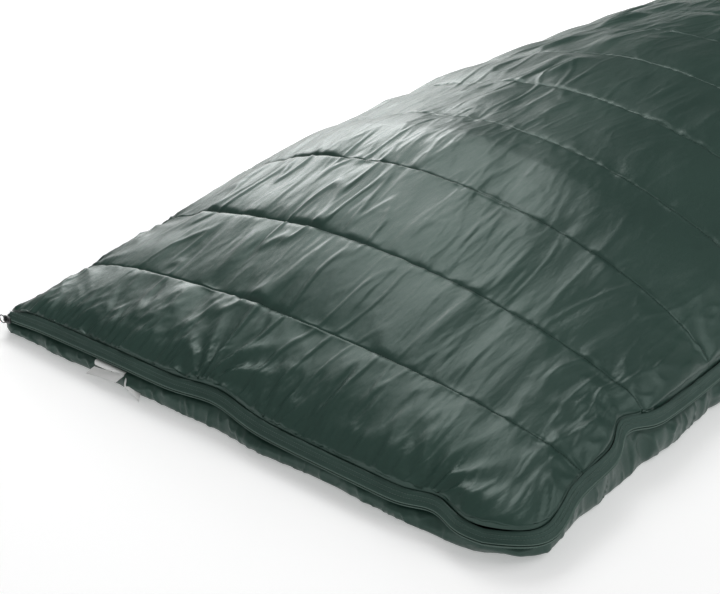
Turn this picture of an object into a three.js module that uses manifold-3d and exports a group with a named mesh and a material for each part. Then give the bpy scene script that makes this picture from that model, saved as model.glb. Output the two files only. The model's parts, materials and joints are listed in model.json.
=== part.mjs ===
// A rectangular two-layer camp quilt that zips round its foot and right side.
// Millimetres, +Z up. The origin is on the ground under the middle of the quilt.
// -Y is the foot, +Y the open head end, -X the folded side and +X the zipped side.
import * as THREE from "three";
import { mergeVertices } from "three/addons/utils/BufferGeometryUtils.js";
import Module from "manifold-3d";

const wasm = await Module();
wasm.setup();

// ---- driving dimensions ----
const width = 820; // fold line to the outside of the side zip
const length = 2090; // outside of the foot zip to the head binding
const cornerRadius = 85; // plan radius of both quilts at the foot's zipped corner
const footZipHeight = 29; // zip's centre above the ground along the foot and at the fold
const sideZipHeight = 48; // zip's centre above the ground along the side

const chambers = 12; // sewn channels across each quilt
const footChamber = 120; // length of the channel at the foot
const narrowChambers = 5; // channels over which the lengths grow to the full one

const crownHeight = 162; // rise of the top quilt's seams from its edges to its crown
const crownPower = 1.84; // how flat the crown is across the quilt
const crownRound = 0.69; // how upright the top quilt's sides stand
const crownShift = 0.905; // leans the crown towards the fold
const footRise = 500; // distance over which the crown climbs from the foot
const footCurve = 1.3; // how early that climb happens
const fallStart = 850; // distance from the foot where the crown starts to fall
const headDrop = 0.5; // share of the crown lost at the head
const puff = 14; // rise of each channel above its two seams

const topLoft = 46; // thickness of the top quilt in the middle of a channel
const bottomLoft = 36; // thickness of the bottom quilt in the middle of a channel
const sewnThickness = 9; // thickness of either quilt along seams and edges
const loftPower = 2.4; // how flat a channel's loft is between its seams
const fabric = 1.2; // one layer of cloth
const layerGap = 1; // clearance between cloth and filling
const seamGap = 1.5; // filling kept back from each stitch line
const fillInset = 5; // filling kept back from the edges
const tuck = 24; // width over which the bottom quilt's edge curves up off the ground

const tapeRise = 11; // height of the top zip tape
const tapeDrop = 5; // depth of the bottom zip tape
const tapeReach = 6.5; // how far both tapes lean in from the coils
const tapeThickness = 0.8;
const coil = 3; // width and height of one row of zip elements
const zipGap = 0.4; // clearance between zip pieces

const sliderLength = 14;
const sliderHeight = 12;
const sliderPlate = 2.6; // thickness of the slider's outer plate
const bridgeWidth = 2.4; // the bridge that holds the pull, across the zip
const bridgeBar = 1.3; // thickness of the bridge's bar and of its two posts
const ringRadius = 6; // pull ring, to the middle of its wire
const ringWire = 1.6; // diameter of the ring's wire
const ringGap = 0.5; // clearance of the ring's wire in the bridge

const bindingDepth = 4; // head binding, along the quilt
const bindingLip = 0.6; // how far the top binding stands proud of the top quilt

const labelLength = 50;
const labelThickness = 0.5;
const labelFromFold = 152; // fold line to the first care label
const labelStep = 2.2; // step outwards and along from one leaf to the next
const labelLeaves = 3;
const labelDrop = 1; // slider's path to the labels' upper edges
const groundGap = 2; // labels' lower edges above the ground

const draftTubeRadius = 10; // filled tube that covers the side zip from inside
const draftTubeInset = 36; // side zip to the tube's centre
const draftTubeRise = 3; // zip's centre to the tube's centre
const draftTubeEnd = 20; // how far the tube stops short of the corner and the head

// ---- places that follow from the sizes ----
const foldX = -width / 2;
const zipX = width / 2 - coil / 2; // centre line of the side zip
const zipFootY = -length / 2 + coil / 2; // centre line of the foot zip
const edgeInset = coil / 2 + zipGap + tapeReach + zipGap; // zip centre line to the quilts
const leftEdge = foldX + zipGap;
const rightEdge = zipX - edgeInset;
const footEdge = zipFootY + edgeInset;
const headEdge = length / 2 - bindingDepth - zipGap;
const quiltLength = headEdge - footEdge;
const arcRadius = Math.min(cornerRadius, quiltLength / 4, (rightEdge - leftEdge) / 2);
const topLift = coil / 2 + tapeRise + zipGap; // zip centre to the top quilt's lower edge
const bottomDip = coil / 2 + tapeDrop + zipGap; // zip centre to the bottom quilt's upper edge
const foldGap = zipGap / 2; // half the gap between the quilts along the fold

const clamp01 = (t) => Math.min(1, Math.max(0, t));
const mix = (a, b, t) => a + (b - a) * t;
const smooth = (t) => clamp01(t) ** 2 * (3 - 2 * clamp01(t));
const arch = (t, power, round) => clamp01(1 - Math.abs(2 * t - 1) ** power) ** round;

// ---- materials ----
const cloth = (color, roughness) => new THREE.MeshStandardMaterial({ color, roughness, metalness: 0 });
const shellCloth = cloth(0x24312d, 0.42);
const liningCloth = cloth(0x1d2725, 0.5);
const filling = cloth(0xe9e6df, 0.95);
const tapeCloth = cloth(0x151d1b, 0.7);
const coilPlastic = cloth(0x111615, 0.45);
const labelCloth = cloth(0xf1f1ee, 0.8);
const sliderMetal = new THREE.MeshStandardMaterial({ color: 0x1b1d1d, roughness: 0.35, metalness: 0.9 });

const quilt = new THREE.Group();

function place(parent, name, geometry, material) {
  const mesh = new THREE.Mesh(geometry, material);
  mesh.name = name;
  parent.add(mesh);
  return mesh;
}

// ---- the quilts' plan: channels along Y, columns across X ----
// Every channel takes one share of the full length, less at the foot.
const share = (k) => Math.min(k / narrowChambers, 1);
const shares = Array.from({ length: chambers }, (_, k) => share(k));
const fullShares = shares.reduce((sum, s) => sum + s, 0);
const fullChamber = (quiltLength - footChamber * (chambers - fullShares)) / fullShares;
const seams = [0];
shares.forEach((s, k) => seams.push(seams[k] + mix(footChamber, fullChamber, s)));

// Rows are distances from the foot edge. The first channel's rows follow the corner's arc.
// The second row and the second last are where the filling starts and ends.
const arcSteps = 4;
const channelSteps = 3;
const rows = [0];
const channelStart = [];
for (let k = 0; k < chambers; k += 1) {
  channelStart.push(rows.length);
  if (k === 0) {
    rows.push(fillInset);
    const turn = Math.PI / 2 / arcSteps;
    for (let i = 2; i <= arcSteps; i += 1) rows.push(arcRadius * (1 - Math.cos(i * turn)));
  } else {
    const step = (seams[k + 1] - seams[k]) / channelSteps;
    for (let i = 0; i < channelSteps; i += 1) rows.push(seams[k] + i * step);
  }
}
channelStart.push(rows.length);
rows.push(quiltLength - fillInset, quiltLength);

// Columns are shares of the width; the second and the second last bound the filling.
const columnCount = 8;
const insetShare = fillInset / (rightEdge - leftEdge);
const columns = [0, insetShare];
for (let i = 1; i < columnCount; i += 1) columns.push((1 - Math.cos((Math.PI * i) / columnCount)) / 2);
columns.push(1 - insetShare, 1);

// The quilts' right edge at a distance from the foot, round the corner.
function rightAt(v) {
  const up = Math.max(0, arcRadius - v);
  return rightEdge - arcRadius + Math.sqrt(arcRadius ** 2 - up ** 2);
}

// Height of the zip's centre beside a row: it climbs round the corner.
function zipHeightAt(v) {
  const turn = Math.acos(clamp01((arcRadius - v) / arcRadius)) / (Math.PI / 2);
  return mix(footZipHeight, sideZipHeight, smooth(turn));
}

function crownAt(v) {
  const climb = 1 - (1 - Math.min(v / footRise, 1)) ** footCurve;
  return crownHeight * climb * (1 - headDrop * smooth((v - fallStart) / (quiltLength - fallStart)));
}

// 0 on a stitch line, 1 in the middle of a channel.
function loftAt(v) {
  const k = Math.min(chambers - 1, Math.max(0, seams.findIndex((s) => s > v + 1e-6) - 1));
  if (v >= seams[chambers]) return 0;
  return arch((v - seams[k]) / (seams[k + 1] - seams[k]), loftPower, 1);
}

// Distance from the quilt's foot and sides; the head is open, so it doesn't count.
function edgeDistance(x, v) {
  const corner = [rightEdge - arcRadius, arcRadius];
  const inCorner = x > corner[0] && v < corner[1];
  const round = inCorner ? arcRadius - Math.hypot(x - corner[0], v - corner[1]) : Infinity;
  return Math.max(0, Math.min(x - leftEdge, rightEdge - x, v, round));
}

// One grid point of both quilts: its place in plan and the four faces' heights.
function gridPoint(u, v) {
  const x = mix(leftEdge, rightAt(v), u);
  const base = mix(footZipHeight, zipHeightAt(v), u);
  const side = arch(u ** crownShift, crownPower, crownRound);
  const loft = loftAt(v) * side;
  const onZip = smooth(u / columns[2]); // the fold has no tape between the quilts
  const topEdge = base + mix(foldGap, topLift, onZip);
  const top = topEdge + sewnThickness + crownAt(v) * side + puff * loft;
  const topUnder = top - mix(sewnThickness, topLoft, loft);
  const curl = (1 - clamp01(edgeDistance(x, v) / tuck)) ** 1.5;
  const bottom = (base - mix(foldGap, bottomDip, onZip) - sewnThickness) * curl;
  const bottomOver = bottom + mix(sewnThickness, bottomLoft, loft);
  return { x, y: footEdge + v, top, topUnder, bottom, bottomOver };
}
const grid = rows.map((v) => columns.map((u) => gridPoint(u, v)));

// A closed solid between two height fields over a patch of grid points.
function slab(patch, lower, upper) {
  const m = patch.length;
  const n = patch[0].length;
  const position = [];
  for (const height of [lower, upper]) {
    for (const line of patch) for (const p of line) position.push(p.x, p.y, height(p));
  }
  const at = (level, i, j) => level * m * n + i * n + j;
  const index = [];
  const quad = (a, b, c, d) => index.push(a, b, c, a, c, d);
  for (let i = 0; i < m - 1; i += 1) {
    for (let j = 0; j < n - 1; j += 1) {
      quad(at(1, i, j), at(1, i, j + 1), at(1, i + 1, j + 1), at(1, i + 1, j));
      quad(at(0, i, j), at(0, i + 1, j), at(0, i + 1, j + 1), at(0, i, j + 1));
    }
  }
  for (let j = 0; j < n - 1; j += 1) {
    quad(at(0, 0, j), at(0, 0, j + 1), at(1, 0, j + 1), at(1, 0, j));
    quad(at(0, m - 1, j + 1), at(0, m - 1, j), at(1, m - 1, j), at(1, m - 1, j + 1));
  }
  for (let i = 0; i < m - 1; i += 1) {
    quad(at(0, i + 1, 0), at(0, i, 0), at(1, i, 0), at(1, i + 1, 0));
    quad(at(0, i, n - 1), at(0, i + 1, n - 1), at(1, i + 1, n - 1), at(1, i, n - 1));
  }
  return closed(position, index);
}

function closed(position, index) {
  const geometry = new THREE.BufferGeometry();
  geometry.setAttribute("position", new THREE.Float32BufferAttribute(position, 3));
  geometry.setIndex(index);
  geometry.computeVertexNormals();
  return geometry;
}

// A point part of the way from one grid point to the next, on every face.
function between(p, q, t) {
  const point = {};
  for (const key of Object.keys(p)) point[key] = mix(p[key], q[key], t);
  return point;
}

// The patch of grid that one channel's filling covers, kept back from the stitch lines.
function channelPatch(k) {
  const patch = grid.slice(channelStart[k], channelStart[k + 1] + 1).map((line) => line.slice(1, -1));
  const last = patch.length - 1;
  const drawIn = (line, next) => line.map((p, j) => between(p, next[j], seamGap / Math.abs(next[j].y - p.y)));
  const foot = k === 0 ? patch[0] : drawIn(patch[0], patch[1]);
  const head = k === chambers - 1 ? patch[last] : drawIn(patch[last], patch[last - 1]);
  return [foot, ...patch.slice(1, last), head];
}

const number = (k) => String(k + 1).padStart(2, "0");

const topQuilt = new THREE.Group();
const bottomQuilt = new THREE.Group();
quilt.add(topQuilt, bottomQuilt);

const skin = fabric + layerGap;
const layer = (lower) => slab(grid, lower, (p) => lower(p) + fabric);
place(topQuilt, "top_shell", layer((p) => p.top - fabric), shellCloth);
place(topQuilt, "top_lining", layer((p) => p.topUnder), liningCloth);
place(bottomQuilt, "bottom_shell", layer((p) => p.bottom), shellCloth);
place(bottomQuilt, "bottom_lining", layer((p) => p.bottomOver - fabric), liningCloth);
for (let k = 0; k < chambers; k += 1) {
  const patch = channelPatch(k);
  const topFill = slab(patch, (p) => p.topUnder + skin, (p) => p.top - skin);
  const bottomFill = slab(patch, (p) => p.bottom + skin, (p) => p.bottomOver - skin);
  place(topQuilt, `top_fill_${number(k)}`, topFill, filling);
  place(bottomQuilt, `bottom_fill_${number(k)}`, bottomFill, filling);
}

// Head bindings: one strip closes the end of each quilt.
function headBinding(lower, upper) {
  const end = grid[grid.length - 1];
  const strip = [zipGap, zipGap + bindingDepth].map((out) => end.map((p) => ({ ...p, y: p.y + out })));
  return slab(strip, lower, upper);
}
place(topQuilt, "top_head_binding", headBinding((p) => p.topUnder, (p) => p.top + bindingLip), tapeCloth);
place(bottomQuilt, "bottom_head_binding", headBinding((p) => p.bottom, (p) => p.bottomOver), tapeCloth);

// ---- the zip: its centre line, then whatever runs along it ----
// Stations run along the foot from the fold, round the corner and up the side to the head.
const zipStart = foldX + coil + zipGap;
const zipArc = arcRadius + edgeInset;
const arcCentre = [zipX - zipArc, zipFootY + zipArc];
const zipEnd = headEdge - coil - zipGap;
function zipStations() {
  const stations = [];
  const foot = (x) => stations.push({ x, y: zipFootY, out: [0, -1], z: footZipHeight });
  foot(zipStart);
  foot(arcCentre[0]);
  const steps = 8;
  for (let i = 1; i < steps; i += 1) {
    const angle = (Math.PI / 2) * (i / steps);
    const out = [Math.sin(angle), -Math.cos(angle)];
    const z = mix(footZipHeight, sideZipHeight, smooth(i / steps));
    stations.push({ x: arcCentre[0] + zipArc * out[0], y: arcCentre[1] + zipArc * out[1], out, z });
  }
  for (const y of [arcCentre[1], zipEnd]) stations.push({ x: zipX, y, out: [1, 0], z: sideZipHeight });
  return stations;
}

// Sweeps a section of [out, up] points, anticlockwise as seen against the travel.
function sweep(section, stations) {
  const n = section.length;
  const position = [];
  for (const s of stations) {
    for (const [out, up] of section) position.push(s.x + out * s.out[0], s.y + out * s.out[1], s.z + up);
  }
  const index = [];
  for (let i = 0; i < stations.length - 1; i += 1) {
    for (let j = 0; j < n; j += 1) {
      const a = i * n + j;
      const b = i * n + ((j + 1) % n);
      index.push(a, a + n, b + n, a, b + n, b);
    }
  }
  const end = (stations.length - 1) * n;
  const outline = section.map(([out, up]) => new THREE.Vector2(out, up));
  for (const [a, b, c] of THREE.ShapeUtils.triangulateShape(outline, [])) {
    index.push(a, b, c, end + a, end + c, end + b);
  }
  return closed(position, index);
}

// The tape leaves its coil level and then climbs or drops to the quilt's edge.
function tapeSection(side, height) {
  const root = -coil / 2 - zipGap;
  const inner = -(coil / 2 + zipGap + tapeReach);
  const near = coil / 4;
  const section = [
    [root, side * near],
    [root, side * (near + tapeThickness)],
    [inner + tapeThickness, side * height],
    [inner, side * height],
    [inner, side * (height - tapeThickness)],
  ];
  return side > 0 ? section : section.reverse();
}

function coilSection(side) {
  const near = side * (zipGap / 2);
  const far = side * coil;
  const half = coil / 2;
  const shoulder = coil / 3;
  const section = [[shoulder, near], [half, (near + far) / 2], [shoulder, far], [-half, far], [-half, near]];
  return side > 0 ? section : section.reverse();
}

const stations = zipStations();
const topTape = sweep(tapeSection(1, coil / 2 + tapeRise), stations);
const bottomTape = sweep(tapeSection(-1, coil / 2 + tapeDrop), stations);
place(topQuilt, "top_zip_tape", topTape, tapeCloth);
place(bottomQuilt, "bottom_zip_tape", bottomTape, tapeCloth);
place(topQuilt, "top_zip_coil", sweep(coilSection(1), stations), coilPlastic);
place(bottomQuilt, "bottom_zip_coil", sweep(coilSection(-1), stations), coilPlastic);

// Small metal stops close both ends of the zip.
function stop(name, parent, x, y, z) {
  place(parent, name, new THREE.BoxGeometry(coil, coil, coil), sliderMetal).position.set(x, y, z);
}
const stopDrop = (coil + zipGap) / 2;
stop("foot_zip_stop", bottomQuilt, foldX + coil / 2, zipFootY, footZipHeight - stopDrop);
stop("top_head_stop", topQuilt, zipX, zipEnd + zipGap + coil / 2, sideZipHeight + stopDrop);
stop("bottom_head_stop", bottomQuilt, zipX, zipEnd + zipGap + coil / 2, sideZipHeight - stopDrop);

// ---- sliders ----
// A slider's own X points out of the zip and its Y runs along it. Its plate stands outside the
// coils, its lip passes under the lower coil, and the pull ring lies flat round a bridge post.
const plateIn = coil / 2 + zipGap;
const plateOut = plateIn + sliderPlate;
const lipTop = -(coil + 2 * zipGap);
const eye = ringWire + 2 * ringGap; // opening under the bridge's bar, both ways
const ringOut = plateOut + eye / 2;

// A mesh's geometry as a manifold solid, and the union of two of them as a geometry again.
function solid(geometry) {
  const bare = geometry.clone();
  bare.deleteAttribute("normal");
  bare.deleteAttribute("uv");
  const merged = mergeVertices(bare, 1e-4);
  const vertProperties = new Float32Array(merged.attributes.position.array);
  const triVerts = new Uint32Array(merged.index.array);
  return new wasm.Manifold(new wasm.Mesh({ numProp: 3, vertProperties, triVerts }));
}
function joined(a, b) {
  const mesh = solid(a).add(solid(b)).getMesh();
  return closed(Array.from(mesh.vertProperties), Array.from(mesh.triVerts));
}

function outlined(points, depth) {
  const shape = new THREE.Shape(points.map(([a, b]) => new THREE.Vector2(a, b)));
  return new THREE.ExtrudeGeometry(shape, { depth, bevelEnabled: false });
}

function sliderBody() {
  const half = sliderHeight / 2;
  const profile = [
    [plateOut, -half],
    [plateOut, half],
    [plateIn, half],
    [plateIn, lipTop],
    [-coil / 2, lipTop],
    [-coil / 2, lipTop - tapeThickness],
    [plateIn, -half],
  ];
  const plate = outlined(profile, sliderLength).rotateX(Math.PI / 2).translate(0, sliderLength / 2, 0);
  const post = eye / 2 + bridgeBar;
  const root = plateOut - sliderPlate / 2;
  const barOut = plateOut + eye + bridgeBar;
  const staple = [
    [root, -post],
    [barOut, -post],
    [barOut, post],
    [root, post],
    [root, eye / 2],
    [plateOut + eye, eye / 2],
    [plateOut + eye, -eye / 2],
    [root, -eye / 2],
  ];
  const bridge = outlined(staple, bridgeWidth).translate(0, 0, -bridgeWidth / 2);
  return joined(plate, bridge);
}

function slider(name, pullName, x, y, z, turn) {
  const carriage = new THREE.Group();
  carriage.position.set(x, y, z);
  carriage.rotation.z = turn;
  place(carriage, name, sliderBody(), sliderMetal);
  const ring = new THREE.TorusGeometry(ringRadius, ringWire / 2, 6, 18).rotateY(Math.PI / 2);
  place(carriage, pullName, ring, sliderMetal).position.set(ringOut, -ringRadius, 0);
  quilt.add(carriage);
}
slider("foot_slider", "foot_pull_ring", foldX + sliderLength / 2, zipFootY, footZipHeight, -Math.PI / 2);
slider("side_slider", "side_pull_ring", zipX, zipEnd - sliderLength / 2, sideZipHeight, 0);

// ---- care labels: blank leaves that hang at the foot, clear of the slider's path and the ground ----
const labelTop = footZipHeight - sliderHeight / 2 - labelDrop;
const labelHeight = labelTop - groundGap;
for (let i = 0; i < labelLeaves; i += 1) {
  const leaf = new THREE.BoxGeometry(labelLength, labelThickness, labelHeight);
  const along = foldX + labelFromFold + labelLength / 2 + i * labelStep;
  const out = coil - i * labelStep;
  const mesh = place(bottomQuilt, `care_label_${i + 1}`, leaf, labelCloth);
  mesh.position.set(along, zipFootY + out, groundGap + labelHeight / 2);
}

// ---- draft tube: a filled tube sewn in behind the side zip ----
const tubeFrom = arcCentre[1] + draftTubeEnd;
const tubeTo = headEdge - draftTubeEnd;
const tube = new THREE.CylinderGeometry(draftTubeRadius, draftTubeRadius, tubeTo - tubeFrom, 10);
const draftTube = place(topQuilt, "draft_tube", tube, liningCloth);
draftTube.position.set(zipX - draftTubeInset, (tubeFrom + tubeTo) / 2, sideZipHeight + draftTubeRise);

export default quilt;
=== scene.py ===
"""The camp quilt's looks: a two-layer quilt with sewn channels, zipped round its foot and right side."""
import json
import math

import bpy
import numpy as np
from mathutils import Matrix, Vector


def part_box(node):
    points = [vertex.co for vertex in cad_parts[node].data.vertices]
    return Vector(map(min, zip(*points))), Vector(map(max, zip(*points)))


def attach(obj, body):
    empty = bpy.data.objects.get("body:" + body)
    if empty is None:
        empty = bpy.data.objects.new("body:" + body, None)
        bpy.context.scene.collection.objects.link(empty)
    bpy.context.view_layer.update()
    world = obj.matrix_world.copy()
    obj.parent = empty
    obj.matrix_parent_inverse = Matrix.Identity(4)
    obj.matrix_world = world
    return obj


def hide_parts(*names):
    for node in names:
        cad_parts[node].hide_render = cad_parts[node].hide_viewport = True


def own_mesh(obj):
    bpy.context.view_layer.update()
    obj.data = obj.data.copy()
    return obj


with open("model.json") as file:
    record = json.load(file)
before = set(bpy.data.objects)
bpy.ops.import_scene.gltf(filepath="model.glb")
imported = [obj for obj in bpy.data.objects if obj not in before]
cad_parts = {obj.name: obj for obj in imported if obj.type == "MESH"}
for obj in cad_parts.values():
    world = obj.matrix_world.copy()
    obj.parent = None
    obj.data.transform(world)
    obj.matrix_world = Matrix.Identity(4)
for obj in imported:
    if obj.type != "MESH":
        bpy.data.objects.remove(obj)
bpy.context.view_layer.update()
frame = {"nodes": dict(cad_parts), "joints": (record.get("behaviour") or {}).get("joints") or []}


def corners(node):
    return [np.array(c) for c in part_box(node)]


# ---- places from the frame ----
SHELL_LOW, SHELL_HIGH = corners("top_shell")
COIL_LOW, COIL_HIGH = corners("top_zip_coil")
LEFT, RIGHT = SHELL_LOW[0], SHELL_HIGH[0]
FOOT, HEAD = SHELL_LOW[1], SHELL_HIGH[1]
LENGTH, WIDTH = HEAD - FOOT, RIGHT - LEFT
HINGE = np.array(next(j for j in frame["joints"] if j["name"] == "top_open")["pos_m"])
TOP_FILLS = sorted(n for n in frame["nodes"] if n.startswith("top_fill_"))
BOTTOM_FILLS = [n.replace("top", "bottom") for n in TOP_FILLS]
BREAKS = [(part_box(a)[1][1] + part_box(b)[0][1]) / 2 for a, b in zip(TOP_FILLS[:-1], TOP_FILLS[1:])]
SEAMS = np.array([FOOT, *BREAKS, HEAD]) - FOOT  # distances of the stitch lines from the foot edge
CHANNELS = len(TOP_FILLS)

# ---- sizes that the looks repeat from the model ----
COIL = 0.003
ZIP_X, ZIP_Y = COIL_HIGH[0] - COIL / 2, COIL_LOW[1] + COIL / 2
FOOT_Z, SIDE_Z = HINGE[2], (corners("side_slider")[0][2] + corners("side_slider")[1][2]) / 2
CORNER = 0.085
ZIP_CORNER = CORNER + ZIP_X - RIGHT
TAPE_TOP, TAPE_LOW = 0.0129, 0.0069  # zip's centre to the edges of the top and bottom quilt
SEWN = 0.009
TOP_LOFT, BOTTOM_LOFT = 0.046, 0.036
CROWN, CROWN_POWER, CROWN_ROUND, CROWN_SHIFT = 0.162, 1.84, 0.69, 0.905
FOOT_RISE, FOOT_CURVE = 0.5, 1.3
FALL_START, HEAD_DROP = 0.85, 0.5
TUCK = 0.024

# ---- sizes of the looks alone ----
PUFF = 0.0018  # rise of a channel's middle over its stitch lines
DENT = 0.0045  # depth to which a stitch line draws in the quilt's sides
HEM_OUT, HEM_DOWN = 0.0100, 0.0062  # how far the filled edge rolls out and sinks
HEM = 0.022  # width over which a quilt's edge rounds off to its hem
COARSE_ROWS, COARSE_COLUMNS = 18, 136  # simulated cloth: rows in each channel, columns across
FINE_COLUMNS = 390
BULK_OUT = 0.95  # share of the broad pillow shape that is left out of the simulated relief
WALL_SHARE = 0.8  # share of the bottom wall's section that is above the ground
SEAM_STITCH = (0.0036, 0.0027, 0.00065)  # pitch, length and thickness of a stitch
TAPE_STITCH = (0.0034, 0.0026, 0.0008)
BINDING_STITCH = (0.0034, 0.0026, 0.0007)
MM = 0.001
RNG = np.random.default_rng(11)


# ---- formulas ----
def clamp01(t):
    return np.clip(t, 0.0, 1.0)


def smooth(t):
    t = clamp01(t)
    return t * t * (3 - 2 * t)


def mix(a, b, t):
    return a + (b - a) * t


def bell(t):
    return np.exp(-np.square(t))


def arch(t, power, rounding):
    return clamp01(1 - np.abs(2 * clamp01(t) - 1) ** power) ** rounding


def quarter(t):
    """A quarter circle from 0 up to 1, upright at its start."""
    return np.sqrt(1 - np.square(1 - clamp01(t)))


def stacked(*columns):
    return np.stack(np.broadcast_arrays(*columns), -1)


# ---- soft noise over the quilt's plan, the same at any mesh size ----
NOISE_CELL = 0.002
NOISE_SPAN = (2.4, 1.2)


def noise_field(reach_x, reach_y):
    """Gaussian noise that is smooth over those reaches in metres. It has mean 0 and spread 1."""
    shape = [round(s / NOISE_CELL) for s in NOISE_SPAN]
    waves_y = np.fft.fftfreq(shape[0], NOISE_CELL)[:, None] * reach_y
    waves_x = np.fft.rfftfreq(shape[1], NOISE_CELL)[None] * reach_x
    spectrum = np.exp(-2 * math.pi**2 * (waves_y**2 + waves_x**2))
    field = np.fft.irfft2(np.fft.rfft2(RNG.normal(size=shape)) * spectrum, shape)
    return (field - field.mean()) / field.std()


def sample(field, x, y):
    rows, columns = field.shape
    across, along = np.asarray(x) / NOISE_CELL + columns / 2, np.asarray(y) / NOISE_CELL + rows / 2
    i, j = np.floor(along).astype(int), np.floor(across).astype(int)
    fy, fx = along - i, across - j
    i, j = i % rows, j % columns
    i2, j2 = (i + 1) % rows, (j + 1) % columns
    near = mix(field[i, j], field[i, j2], fx)
    far = mix(field[i2, j], field[i2, j2], fx)
    return mix(near, far, fy)


DRIFT = noise_field(0.09, 0.11)
PATCHES = noise_field(0.12, 0.10)
FOLDS = noise_field(0.013, 0.055)
CREASES = noise_field(0.0095, 0.048)
FINE_CREASES = noise_field(0.0055, 0.022)
PUCKERS = noise_field(0.0022, 0.012)
GATHERS = noise_field(0.0062, 0.03)
LUMPS = noise_field(0.035, 0.04)
CRUMPLE = noise_field(0.0075, 0.009)
PLEATS = noise_field(0.0036, 0.016)


# ---- camera ----
def make_camera():
    data = bpy.data.cameras.new("camera")
    data.lens = 73.2
    data.sensor_width = 36.0
    camera = bpy.data.objects.new("camera", data)
    camera.location = (1.0384, -2.0578, 0.9535)
    camera.rotation_euler = (math.radians(90 - 27.80), 0, math.radians(39.60))
    bpy.context.collection.objects.link(camera)
    bpy.context.scene.camera = camera


make_camera()


# ---- materials ----
def new_material(name):
    material = bpy.data.materials.new(name)
    material.use_nodes = True
    return material, material.node_tree, material.node_tree.nodes["Principled BSDF"]


def add_node(tree, kind, settings=(), inputs=()):
    made = tree.nodes.new("ShaderNode" + kind)
    for key, value in dict(settings).items():
        setattr(made, key, value)
    for key, value in dict(inputs).items():
        if isinstance(value, bpy.types.NodeSocket):
            tree.links.new(value, made.inputs[key])
        else:
            made.inputs[key].default_value = value
    return made


def place_on(tree, scale):
    """The object's own coordinates, scaled."""
    place = add_node(tree, "TexCoord")
    inputs = {"Vector": place.outputs["Object"], "Scale": scale}
    return add_node(tree, "Mapping", inputs=inputs).outputs["Vector"]


def noise_on(tree, scale, detail=3.0, roughness=0.5):
    inputs = {"Vector": place_on(tree, scale), "Scale": 1.0, "Detail": detail, "Roughness": roughness}
    return add_node(tree, "TexNoise", inputs=inputs).outputs["Fac"]


def waves_on(tree, direction, scale):
    settings = {"wave_type": "BANDS", "bands_direction": direction}
    inputs = {"Vector": place_on(tree, (1, 1, 1)), "Scale": scale, "Distortion": 0.3, "Detail": 1.0}
    return add_node(tree, "TexWave", settings, inputs).outputs["Fac"]


def bumped(tree, shader, layers):
    """Each layer is (height socket, strength, depth in metres)."""
    normal = None
    for height, strength, depth in layers:
        inputs = {"Height": height, "Strength": strength, "Distance": depth}
        if normal is not None:
            inputs["Normal"] = normal
        normal = add_node(tree, "Bump", inputs=inputs).outputs["Normal"]
    tree.links.new(normal, shader.inputs["Normal"])


def ranged(tree, value, low, high, start=0.35, end=0.65):
    inputs = {"Value": value, "From Min": start, "From Max": end, "To Min": low, "To Max": high}
    return add_node(tree, "MapRange", inputs=inputs).outputs["Result"]


def two_toned(tree, shader, share, light, dark):
    """Mixes the base colour from two colours. Sockets 6, 7 and 2 are the Mix node's colour ones."""
    tone = add_node(tree, "Mix", {"data_type": "RGBA"}, {"Factor": share, 6: (*dark, 1), 7: (*light, 1)})
    tree.links.new(tone.outputs[2], shader.inputs["Base Color"])


def cloth_material(name, light, dark, rough, thread=0.0006, weave=0.25, crinkle=0.3, shine=0.5):
    material, tree, shader = new_material(name)
    patches = noise_on(tree, (7, 5, 7), 4.0)
    two_toned(tree, shader, ranged(tree, patches, 0.0, 1.0, 0.3, 0.7), light, dark)
    grain = noise_on(tree, (260, 260, 260), 2.0)
    tree.links.new(ranged(tree, grain, *rough, 0.3, 0.7), shader.inputs["Roughness"])
    shader.inputs["Specular Tint"].default_value = (0.80, 1.0, 0.93, 1)
    shader.inputs["Specular IOR Level"].default_value = shine
    scale = 2 * math.pi / (20 * thread)
    layers = [
        (noise_on(tree, (95, 30, 60), 3.0, 0.55), crinkle, 0.0022),
        (noise_on(tree, (240, 110, 180), 2.0), crinkle * 0.7, 0.0007),
        (waves_on(tree, "X", scale), weave, 0.00008),
        (waves_on(tree, "Y", scale), weave, 0.00008),
    ]
    bumped(tree, shader, layers)
    return material


def metal_material(name, light, dark):
    material, tree, shader = new_material(name)
    shader.inputs["Metallic"].default_value = 1.0
    wear = noise_on(tree, (900, 900, 900), 3.0)
    two_toned(tree, shader, ranged(tree, wear, 0.0, 1.0), light, dark)
    tree.links.new(ranged(tree, wear, 0.22, 0.42), shader.inputs["Roughness"])
    bumped(tree, shader, [(wear, 0.15, 0.0001)])
    return material


SHELL = cloth_material("shell", (0.026, 0.060, 0.047), (0.019, 0.047, 0.037), (0.29, 0.37))
LINING = cloth_material("lining", (0.022, 0.036, 0.031), (0.016, 0.028, 0.024), (0.40, 0.52))
TAPE = cloth_material("tape", (0.038, 0.076, 0.062), (0.027, 0.056, 0.046), (0.45, 0.6), 0.0011, 0.8)
BINDING = cloth_material("binding", (0.026, 0.045, 0.038), (0.018, 0.032, 0.027), (0.5, 0.6), 0.0009, 0.6)
# Thread: a light green, partly the thread's own colour and partly lightened to paint the highlight lines
# along the zip tapes' folded edges.
THREAD_AND_HIGHLIGHT = cloth_material("thread", (0.10, 0.155, 0.132), (0.075, 0.120, 0.102), (0.5, 0.65), 0.0004, 0.5, 0.1)
SEAM_THREAD = cloth_material(
    "seam_thread", (0.014, 0.026, 0.021), (0.010, 0.019, 0.016), (0.7, 0.8), 0.0004, 0.5, 0.1, 0.1
)
COIL_PLASTIC = cloth_material(
    "coil", (0.012, 0.020, 0.017), (0.008, 0.014, 0.012), (0.3, 0.42), weave=0.05, crinkle=0.1
)
METAL = metal_material("metal", (0.10, 0.105, 0.105), (0.045, 0.048, 0.048))
LABEL = cloth_material("label", (0.93, 0.93, 0.92), (0.86, 0.86, 0.85), (0.45, 0.6), 0.0008, 0.5, 0.2)


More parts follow.
